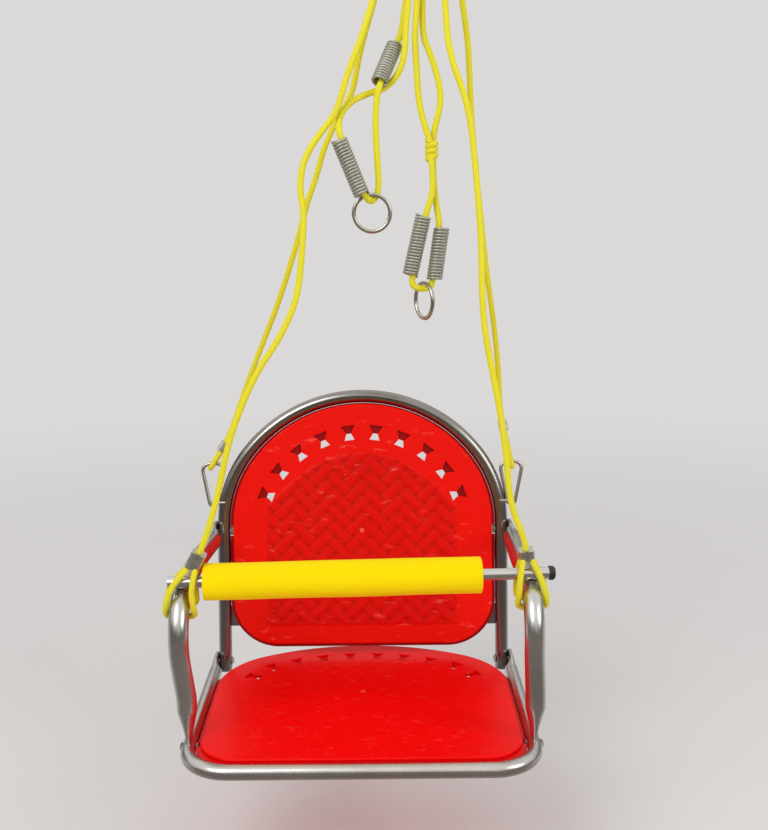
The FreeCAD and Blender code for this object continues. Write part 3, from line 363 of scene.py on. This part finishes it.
# The knots: a whipping of rope round the eight strands under the hook, and a small one where the
# right ring's two strands become one. Each is a tight coil of the same rope over its strands: its point
# is the knot's centre, plus the coil's radius in the turned direction, plus an even rise.
knot_place = (59.6, 147.0, 746.8)
core_half = 0.0155
core_radius = 0.0112
strand_swell = 0.09
for name, centre, coil, turns, rise, start in (
        ("hanging_knot", knot_place, 14.2, 4.6, 26.2, 0.3),
        ("small_knot", (62.6, 133.2, 494.3), 3.3, 3.4, 17.0, 2.2)):
    angle = np.linspace(0, turns * 2 * np.pi, int(turns * 12) + 1)
    slack = 1 + 0.02 * np.sin(3.1 * angle)
    ring = np.stack([centre[0] + coil * slack * np.cos(angle + start),
                     centre[1] + coil * slack * np.sin(angle + start),
                     centre[2] + rise * (angle / angle[-1] - 0.5)], 1)
    braided_rope("tied_" + name, ring, name)
# Inside the coil is the bundle: a barrel, swollen where each of the eight strands shows, and twisted.
height = np.linspace(-1, 1, 60)[:, None]
angle = (np.arange(96) * 2 * np.pi / 96)[None]
core = seat(knot_place) + core_half * height * (0, 0, 1)
swell = np.sqrt(np.clip(1 - height ** 6, 0.02, 1))
strands = np.abs(np.sin(4 * (angle + 0.5 * height)))
bundle = round_piece("strands_in_knot", core, core_radius * swell * (1 + strand_swell * strands),
                     swell * strands)
bundle.data.materials.append(rope_yellow)
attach(bundle, "swing")

# Two short loops of the same rope lie side by side in the ceiling hook and carry everything below it.
# Both of their ends go into the knot.
for name, x in (("hook_loop_left", 56.3), ("hook_loop_right", 62.9)):
    rope, line = braided_rope("braided_" + name, [
        (x, 139.5, 759.8), (x, 139.2, 779.0), (x, 139.4, 793.6), (x, 154.6, 793.6), (x, 154.8, 779.0),
        (x, 154.5, 759.8)], name)

# Spring sleeves: 2.5 mm wire wound close into 13.8 mm tubes, slid over the rings' ropes as grips, and
# dulled to a greenish grey. A turn's point is the sleeve's start, plus the radius in the turned direction,
# plus the pitch for each turn gone round.
spring_pitch = 2.6
spring_radius = 5.63
spring_wire_radius = 0.00126
spring_aside = 1.4
spring_grey, tree, shader = finish_of("spring_grey", Metallic=0.6)
tone = marked(tree, 60.0, 1800.0, 0.6, 0.5)
dulled = blended(tree, tone["Tone"], sRGB(138, 138, 126), sRGB(198, 198, 184))
tree.links.new(dulled, shader.inputs["Base Color"])
tree.links.new(mapped(tree, tone["Tone"], 0, 1, 0.35, 0.6), shader.inputs["Roughness"])
tree.links.new(bumped(tree, tone["Height"], 0.15, 0.0001), shader.inputs["Normal"])
for name, top, foot, aside, turns in (
        ("spring_sleeve_left_low", (-13.5, 103.0, 501.8), (5.6, 102.0, 455.7), (-1, 0, 0), 18.5),
        ("spring_sleeve_left_high", (34.0, 140.0, 580.1), (19.4, 120.3, 546.0), (-1, 0, 0), 15.5),
        ("spring_sleeve_right_long", (57.1, 127.0, 439.6), (45.1, 124.0, 387.9), (-1, 0, 0), 19.5),
        ("spring_sleeve_right_short", (69.8, 131.0, 429.0), (63.4, 126.5, 385.2), (1, 0, 0), 16.5)):
    top, foot, aside = np.array(top), np.array(foot), np.array(aside, float)
    length = np.linalg.norm(foot - top)
    way = (foot - top) / length
    one = aside - way * aside.dot(way)
    one /= np.linalg.norm(one)
    two = np.cross(way, one)
    start = top + one * spring_aside + way * (length - turns * spring_pitch) / 2
    angle = np.linspace(0, turns * 2 * np.pi, int(turns * 40))[:, None]
    around = one * np.cos(angle) + two * np.sin(angle)
    helix = seat(start + spring_radius * around + way * spring_pitch * angle / (2 * np.pi))
    wire = round_piece("wound_" + name, helix, np.full((len(helix), 12), spring_wire_radius))
    wire.data.materials.append(spring_grey)
    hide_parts(name)
    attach(wire, "swing")

# Foam sleeve on the safety bar: closed-cell foam tube, cut square, soft to the hand. Its surface is
# dull, finely pitted and not quite round, and it turns freely on the rod.
foam_length = 0.233
foam_radius = 0.0157
foam_bore = 0.0052
foam_inset = 0.015
foam_yellow, tree, shader = finish_of("foam_yellow", Roughness=0.8, Sheen_Weight=0.03,
                                      Specular_IOR_Level=0.08)
tone = marked(tree, 18.0, 1400.0, 0.35, 0.5)
soft = blended(tree, tone["Tone"], sRGB(248, 208, 0), sRGB(255, 230, 0))
tree.links.new(soft, shader.inputs["Base Color"])
cells = add(tree, "ShaderNodeTexVoronoi", {
    "Vector": add(tree, "ShaderNodeTexCoord").outputs["Object"], "Scale": 900.0}).outputs["Distance"]
tree.links.new(bumped(tree, cells, 0.4, 0.0003), shader.inputs["Normal"])
bar_left, bar_right = seat((-146, 62.0, 138.8)), seat((146, 70.0, 141.4))
bar_way = (bar_right - bar_left) / np.linalg.norm(bar_right - bar_left)
foam_start = bar_left + bar_way * foam_inset / bar_way[0]
# The tube's radius at a station and angle is its edge there, plus two slow waves that leave it uneven.
rounding_in = np.array([0, 0, 0.0003, 0.0009])
rounding_down = np.array([0.0015, 0.0006, 0.0001])
body_rings = 90
body = np.linspace(0.002, foam_length - 0.002, body_rings)
station = np.r_[rounding_in, body, foam_length - rounding_in[::-1]]
corner = np.r_[foam_bore, foam_radius - rounding_down]
edge = np.r_[corner, np.full(body_rings, foam_radius), corner[::-1]]
angle = (np.arange(72) * 2 * np.pi / 72)[None]
uneven = (0.00012 * np.sin(2 * angle + station[:, None] * 40)
          + 0.0001 * np.sin(3 * angle - station[:, None] * 63) - 0.00022)
outline = edge[:, None] + uneven * (edge > foam_bore)[:, None]
# The flat ends put two rings at one place, and a line needs all its points apart.
station = station + np.linspace(0, 1e-6, len(station))
foam = round_piece("foam_grip", foam_start + station[:, None] * bar_way, outline)
foam.data.materials.append(foam_yellow)
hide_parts("foam_sleeve")
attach(foam, "foam")


# Plated steel. The tubes are bright nickel-chrome over drawn steel, faintly brushed and clouded; the
# rod is paler; the rings, crimps, screws and strips are duller zinc or nickel.
def plated(name, dark, light, shine, dull, cloud_size=14.0):
    """Metal whose tone wanders between two colours, and whose gloss wanders with it."""
    material, tree, shader = finish_of(name, Metallic=1.0)
    tone = marked(tree, cloud_size, 1200.0, 0.8, 0.25)
    tree.links.new(blended(tree, tone["Tone"], dark, light), shader.inputs["Base Color"])
    tree.links.new(mapped(tree, tone["Tone"], 0, 1, shine, dull), shader.inputs["Roughness"])
    tree.links.new(bumped(tree, tone["Height"], 0.08, 0.0001), shader.inputs["Normal"])
    return material


# Painted shade: the hoop's chrome is a darker copy of the tubes' chrome, standing for the darker
# reflections that the hoop shows.
hoop_chrome_shaded = plated("hoop_chrome_shaded", sRGB(104, 98, 95), sRGB(178, 173, 169), 0.14, 0.28)
tube_chrome = plated("tube_chrome", sRGB(152, 148, 143), sRGB(222, 218, 214), 0.18, 0.34)
arm_chrome = plated("arm_chrome", sRGB(158, 157, 153), sRGB(228, 228, 224), 0.18, 0.34)
rod_chrome = plated("rod_chrome", sRGB(176, 172, 169), sRGB(230, 227, 224), 0.18, 0.32)
ring_nickel = plated("ring_nickel", sRGB(150, 146, 134), sRGB(214, 210, 196), 0.22, 0.4, 40.0)
crimp_zinc = plated("crimp_zinc", sRGB(158, 155, 148), sRGB(228, 226, 218), 0.34, 0.5, 120.0)
screw_zinc = plated("screw_zinc", sRGB(150, 148, 144), sRGB(214, 212, 208), 0.2, 0.36, 120.0)
strip_steel = plated("strip_steel", sRGB(96, 94, 92), sRGB(140, 138, 136), 0.4, 0.6)
hook_zinc = plated("hook_zinc", sRGB(140, 138, 134), sRGB(186, 184, 180), 0.28, 0.45, 40.0)
for material, names in (
        (hoop_chrome_shaded, ("back_hoop_tube",)),
        (tube_chrome, ("seat_frame_tube",)),
        (arm_chrome, ("arm_tube_left", "arm_tube_right")),
        (rod_chrome, ("safety_bar_rod",)),
        (ring_nickel, ("hanging_ring_left", "hanging_ring_right", "triangle_ring_left",
                       "triangle_ring_right", "rope_staple_left", "rope_staple_right")),
        (crimp_zinc, ("front_crimp_left", "front_crimp_right", "rear_crimp_left", "rear_crimp_right")),
        (screw_zinc, ("arm_front_rivets", "seat_rear_rivets", "arm_rear_bolts", "arm_bolt_nuts",
                      "seat_panel_screws", "backrest_screws")),
        (strip_steel, ("seat_cross_strips", "backrest_cross_strips")),
        (hook_zinc, ("ceiling_hook",))):
    for name in names:
        nodes[name].data.materials.clear()
        nodes[name].data.materials.append(material)

# The safety bar's right end has a cap of soft black rubber, pushed on over the rod. It is dull, with a
# slightly rough skin.
cap_black, tree, shader = finish_of("cap_black", Roughness=0.55)
tone = marked(tree, 60.0, 1600.0, 0.6, 0.4)
tree.links.new(blended(tree, tone["Tone"], sRGB(14, 14, 15), sRGB(44, 43, 43)), shader.inputs["Base Color"])
tree.links.new(bumped(tree, tone["Height"], 0.3, 0.0002), shader.inputs["Normal"])
nodes["bar_end_cap"].data.materials.clear()
nodes["bar_end_cap"].data.materials.append(cap_black)

# The two mouldings are glossy red plastic. Both carry a woven field in low relief, of flat strips that
# cross in a herringbone, with a smooth border round it; the backrest is a shade more orange.
strip_across = 0.0178
strip_along = 0.0166
under_share = 0.45
field_edge = 0.003
weave, taken, given = effect(
    "moulded_weave",
    [("Vector", "Vector", (0, 0, 0)), ("Half Width", "Float", 0.096), ("Low", "Float", 0.0348),
     ("High", "Float", 0.209), ("Arch", "Float", 0.055), ("Gate", "Float", 0.131)],
    [("Height", "Float"), ("Field", "Float"), ("Hole", "Float"), ("Sunk", "Float"), ("Dot", "Float")])
at = add(weave, "ShaderNodeSeparateXYZ", {0: taken.outputs["Vector"]}).outputs
lean = sum_of(weave, "DIVIDE", at[0], strip_across)
climb = sum_of(weave, "DIVIDE", at[2], strip_along)
first = sum_of(weave, "ADD", lean, climb)
second = sum_of(weave, "SUBTRACT", lean, climb)
cell = sum_of(weave, "ADD", sum_of(weave, "FLOOR", first), sum_of(weave, "FLOOR", second))
column = sum_of(weave, "FLOORED_MODULO", cell, 4.0)
first_up = sum_of(weave, "LESS_THAN", column, 1.5)


def strip_of(place):
    """A strip with well rounded sides: 1 along its middle, falling smoothly to 0 at both edges."""
    inside = sum_of(weave, "ABSOLUTE", sum_of(weave, "SUBTRACT", sum_of(weave, "FRACT", place), 0.5))
    return eased(weave, inside, 0.5, 0.12)


# Where two strips cross, one lies on top and the other shows beside it, at under half its height. The
# field ends at its sides, its foot and its arched top.
strip_first, strip_second = strip_of(first), strip_of(second)
under_first = sum_of(weave, "MULTIPLY", strip_first, under_share)
under_second = sum_of(weave, "MULTIPLY", strip_second, under_share)
if_first = sum_of(weave, "MAXIMUM", strip_first, under_second)
if_second = sum_of(weave, "MAXIMUM", strip_second, under_first)
height = add(weave, "ShaderNodeMix", {0: first_up, 2: if_second, 3: if_first}).outputs[0]
across_share = sum_of(weave, "DIVIDE", at[0], taken.outputs["Half Width"])
square = sum_of(weave, "MULTIPLY", across_share, across_share)
bow = sum_of(weave, "MULTIPLY", square, taken.outputs["Arch"])
top = sum_of(weave, "SUBTRACT", taken.outputs["High"], bow)
sides = mapped(weave, sum_of(weave, "ABSOLUTE", across_share), 1.0, 0.97)
over_low = mapped(weave, sum_of(weave, "SUBTRACT", at[2], taken.outputs["Low"]), 0, field_edge)
under_top = mapped(weave, sum_of(weave, "SUBTRACT", top, at[2]), 0, field_edge)
field = sum_of(weave, "MULTIPLY", sum_of(weave, "MULTIPLY", sides, over_low), under_top)
open_first = sum_of(weave, "SUBTRACT", 1.0, strip_first)
open_second = sum_of(weave, "SUBTRACT", 1.0, strip_second)
corner = sum_of(weave, "MULTIPLY", open_first, open_second)
hole = eased(weave, corner, 0.45, 0.85)
# The lip's front stands 2.3 mm out and the blind lobes' floors 2.8 mm, both under the face at 5 mm. The
# gate mark is a small dot near the middle.
outward = sum_of(weave, "MULTIPLY", at[1], -1.0)
below_face = mapped(weave, outward, 0.0036, 0.0032)
above_back = mapped(weave, outward, 0.0021, 0.0022)
aside = sum_of(weave, "MULTIPLY", at[0], at[0])
away = sum_of(weave, "SUBTRACT", at[2], taken.outputs["Gate"])
span = sum_of(weave, "SQRT", sum_of(weave, "ADD", aside, sum_of(weave, "MULTIPLY", away, away)))
dot = eased(weave, span, 0.003, 0.0016)
for label, value in (("Height", height), ("Field", field), ("Hole", hole), ("Dot", dot),
                     ("Sunk", sum_of(weave, "MULTIPLY", below_face, above_back))):
    weave.links.new(value, given.inputs[label])

# Painted shade darkens the gaps between strips towards the panel's deep red at under half its strength. The
# painted highlight streaks lie 38 degrees from level and are about three times as long as they are wide.
shade_share = 0.45
streak_turn = math.radians(38)
streak_squeeze = 3.2


def moulding(name, deep, bright, recess_shade, origin, turn, sizes, depth, gap_shade, shade, glint_size):
    """Gloss plastic with the woven field: origin and turn lay the field's own axes on the panel. hidden is
    the darker red painted as shade on the lip and the cut-outs' floors. depth is the relief in metres,
    crisp paints shade into the gaps between the strips, shade darkens the whole field, and the streaks and
    the gate mark are painted highlights."""
    material, tree, shader = finish_of(name, Coat_Weight=0.04, Coat_Roughness=0.2, Specular_IOR_Level=0.1)
    here = add(tree, "ShaderNodeTexCoord").outputs["Object"]
    place = add(tree, "ShaderNodeVectorMath", {0: here, 1: origin}, operation="SUBTRACT").outputs[0]
    laid = add(tree, "ShaderNodeVectorRotate", {0: place, "Angle": turn}, rotation_type="X_AXIS").outputs[0]
    group = add(tree, "ShaderNodeGroup", node_tree=weave)
    tree.links.new(laid, group.inputs["Vector"])
    for key, value in sizes.items():
        group.inputs[key].default_value = value
    woven = group.outputs
    tone = marked(tree, 9.0, 700.0, 0.7, 0.25)
    plain = blended(tree, tone["Tone"], deep, bright)
    low = sum_of(tree, "MULTIPLY", woven["Field"], sum_of(tree, "SUBTRACT", 1.0, woven["Height"]))
    shade_tone = [shade_share * c for c in deep[:3]] + [1.0]
    # Painted shade: the low places between the strips, and the whole field by the share shade, go towards a
    # darker red.
    lowered = sum_of(tree, "ADD", sum_of(tree, "MULTIPLY", low, gap_shade),
                     sum_of(tree, "MULTIPLY", woven["Field"], shade))
    shaded = blended(tree, lowered, plain, shade_tone)
    # Painted shade: dark dots where the strips leave holes at their crossings.
    hole_shade = sum_of(tree, "MULTIPLY", woven["Field"], woven["Hole"])
    hole_shaded = blended(tree, sum_of(tree, "MULTIPLY", hole_shade, gap_shade), shaded, shade_tone)
    # Painted highlights: stretched noise streaks and the gate mark's dot lighten the colour towards a pale
    # pink.
    stretched = add(tree, "ShaderNodeMapping", {
        "Vector": laid, "Rotation": (0, streak_turn, 0), "Scale": (1.0, 1.0, streak_squeeze)}).outputs[0]
    glint_noise = add(tree, "ShaderNodeTexNoise", {
        "Vector": stretched, "Scale": glint_size, "Detail": 3.0, "Roughness": 0.7}).outputs["Fac"]
    streaks = mapped(tree, glint_noise, 0.62, 0.74, 0, 0.6)
    light = sum_of(tree, "MAXIMUM", streaks, sum_of(tree, "MULTIPLY", woven["Dot"], 0.75))
    glinted = blended(tree, light, hole_shaded, sRGB(255, 96, 84))
    # Painted shade: the lip and the cut-outs' floors, where Sunk is 1, take the darker red given for them.
    tree.links.new(blended(tree, woven["Sunk"], glinted, recess_shade), shader.inputs["Base Color"])
    tree.links.new(mapped(tree, tone["Tone"], 0, 1, 0.3, 0.46), shader.inputs["Roughness"])
    form = bumped(tree, sum_of(tree, "MULTIPLY", woven["Field"], woven["Height"]), 1.0, depth)
    tree.links.new(bumped(tree, tone["Height"], 0.12, 0.0003, Normal=form), shader.inputs["Normal"])
    return material


backrest_red = moulding(
    "backrest_red", sRGB(224, 6, 1), sRGB(248, 22, 5), sRGB(150, 12, 12), seat((-0.8, 225.5, 0)),
    math.radians(9), {}, depth=0.0007, gap_shade=0.26, shade=0.2, glint_size=55.0)
seat_red = moulding(
    "seat_red", sRGB(236, 0, 1), sRGB(255, 8, 5), sRGB(214, 4, 6), seat((0, 15.0, 0)),
    math.radians(90), {"High": 0.215, "Gate": 0.124}, depth=0.0002, gap_shade=0.03, shade=0.0, glint_size=110.0)
for name, finish in (("backrest_panel", backrest_red), ("seat_panel", seat_red)):
    nodes[name].data.materials.clear()
    nodes[name].data.materials.append(finish)

# A pale paper floor lies below the swing, a round sheet of circles that stand wider apart outwards, lit by
# two soft lamps. Far off it fades into the room's own tone. Its near half is painted darker for glossy rays
# only, a painted reflection of an unlit room in front for polished metal to show.
backdrop = sRGB(219, 217, 216)
floor_reach = 9.0
floor_middle = 0.02
floor_height = -0.99
floor_grey, tree, shader = finish_of("floor_grey", Roughness=0.9)
tone = marked(tree, 2.2, 60.0, 0.5, 0.1)
paper = blended(tree, tone["Tone"], sRGB(224, 222, 221), sRGB(235, 233, 232))
place = add(tree, "ShaderNodeTexCoord").outputs["Object"]
rays = add(tree, "ShaderNodeLightPath").outputs
# Painted reflection: glossy rays see the floor's near half in a dark grey-brown.
unlit = mapped(tree, add(tree, "ShaderNodeSeparateXYZ", {0: place}).outputs[1], 0.15, -0.25)
mirrored = sum_of(tree, "MULTIPLY", unlit, rays["Is Glossy Ray"])
tree.links.new(blended(tree, mirrored, paper, sRGB(126, 116, 111)), shader.inputs["Base Color"])
distance = add(tree, "ShaderNodeVectorMath", {0: place}, operation="LENGTH").outputs["Value"]
far = sum_of(tree, "MULTIPLY", eased(tree, distance, 0.7, 2.6), rays["Is Camera Ray"])
glow = add(tree, "ShaderNodeEmission", {0: backdrop, 1: 1.0}).outputs[0]
faded = add(tree, "ShaderNodeMixShader", {0: far, 1: shader.outputs[0], 2: glow}).outputs[0]
tree.links.new(faded, tree.nodes["Material Output"].inputs[0])
circles = np.linspace(0.0, 1.0, 60) ** 2 * floor_reach + floor_middle
turn, out = np.meshgrid(np.arange(96) * 2 * np.pi / 96, circles, indexing="ij")
count = turn.shape
index = np.arange(count[0] * count[1]).reshape(count)
beside = np.roll(index, -1, axis=0)
quads = np.stack([index[:, :-1], index[:, 1:], beside[:, 1:], beside[:, :-1]], -1).reshape(-1, 4)
places = np.stack([out * np.cos(turn), out * np.sin(turn), np.full(count, floor_height)], -1)
mesh = bpy.data.meshes.new("paper_floor")
mesh.from_pydata(places.reshape(-1, 3).tolist(), [], quads.tolist() + [index[:, 0].tolist()])
mesh.materials.append(floor_grey)
paper = bpy.data.objects.new("paper_floor", mesh)
bpy.context.scene.collection.objects.link(paper)
for name, place, aim, size, power in (
        ("key_lamp", (-0.9, -1.3, 0.7), (0, 0, -0.55), 1.2, 16.0),
        ("fill_lamp", (1.3, -0.9, 0.1), (0, 0, -0.6), 0.9, 7.0)):
    lamp = bpy.data.objects.new(name, bpy.data.lights.new(name, "AREA"))
    lamp.data.shape = "DISK"
    lamp.data.size = size
    lamp.data.energy = power
    facing = (Vector(aim) - Vector(place)).to_track_quat("-Z", "Y").to_matrix().to_4x4()
    lamp.matrix_world = Matrix.Translation(Vector(place)) @ facing
    bpy.context.scene.collection.objects.link(lamp)

# The room lights everything evenly. To polished metal its lower half is dim and its ceiling is bright,
# with an uneven edge between them; the picture sees only the room's own tone.
room = bpy.data.worlds.new("room")
room.use_nodes = True
tree = room.node_tree
plain_light = tree.nodes["Background"]
plain_light.inputs[0].default_value = (1.0, 0.99, 0.985, 1.0)
plain_light.inputs[1].default_value = 0.62
toward = add(tree, "ShaderNodeTexCoord").outputs["Generated"]
uneven = add(tree, "ShaderNodeTexNoise", {
    "Vector": toward, "Scale": 2.6, "Detail": 3.0, "Roughness": 0.6}).outputs["Fac"]
up = add(tree, "ShaderNodeSeparateXYZ", {0: toward}).outputs[2]
wavy = sum_of(tree, "ADD", up, sum_of(tree, "MULTIPLY", sum_of(tree, "SUBTRACT", uneven, 0.5), 1.1))
seen = blended(tree, eased(tree, wavy, 0.12, 0.5), sRGB(112, 108, 105), sRGB(255, 253, 251))
mirrored = add(tree, "ShaderNodeBackground", {0: seen, 1: 1.0}).outputs[0]
far_wall = add(tree, "ShaderNodeBackground", {0: backdrop, 1: 1.0}).outputs[0]
rays = add(tree, "ShaderNodeLightPath").outputs
lit = add(tree, "ShaderNodeMixShader", {
    0: rays["Is Glossy Ray"], 1: plain_light.outputs[0], 2: mirrored}).outputs[0]
chosen = add(tree, "ShaderNodeMixShader", {0: rays["Is Camera Ray"], 1: lit, 2: far_wall}).outputs[0]
tree.links.new(chosen, tree.nodes["World Output"].inputs[0])
bpy.context.scene.world = room
bpy.context.scene.view_settings.view_transform = "Standard"
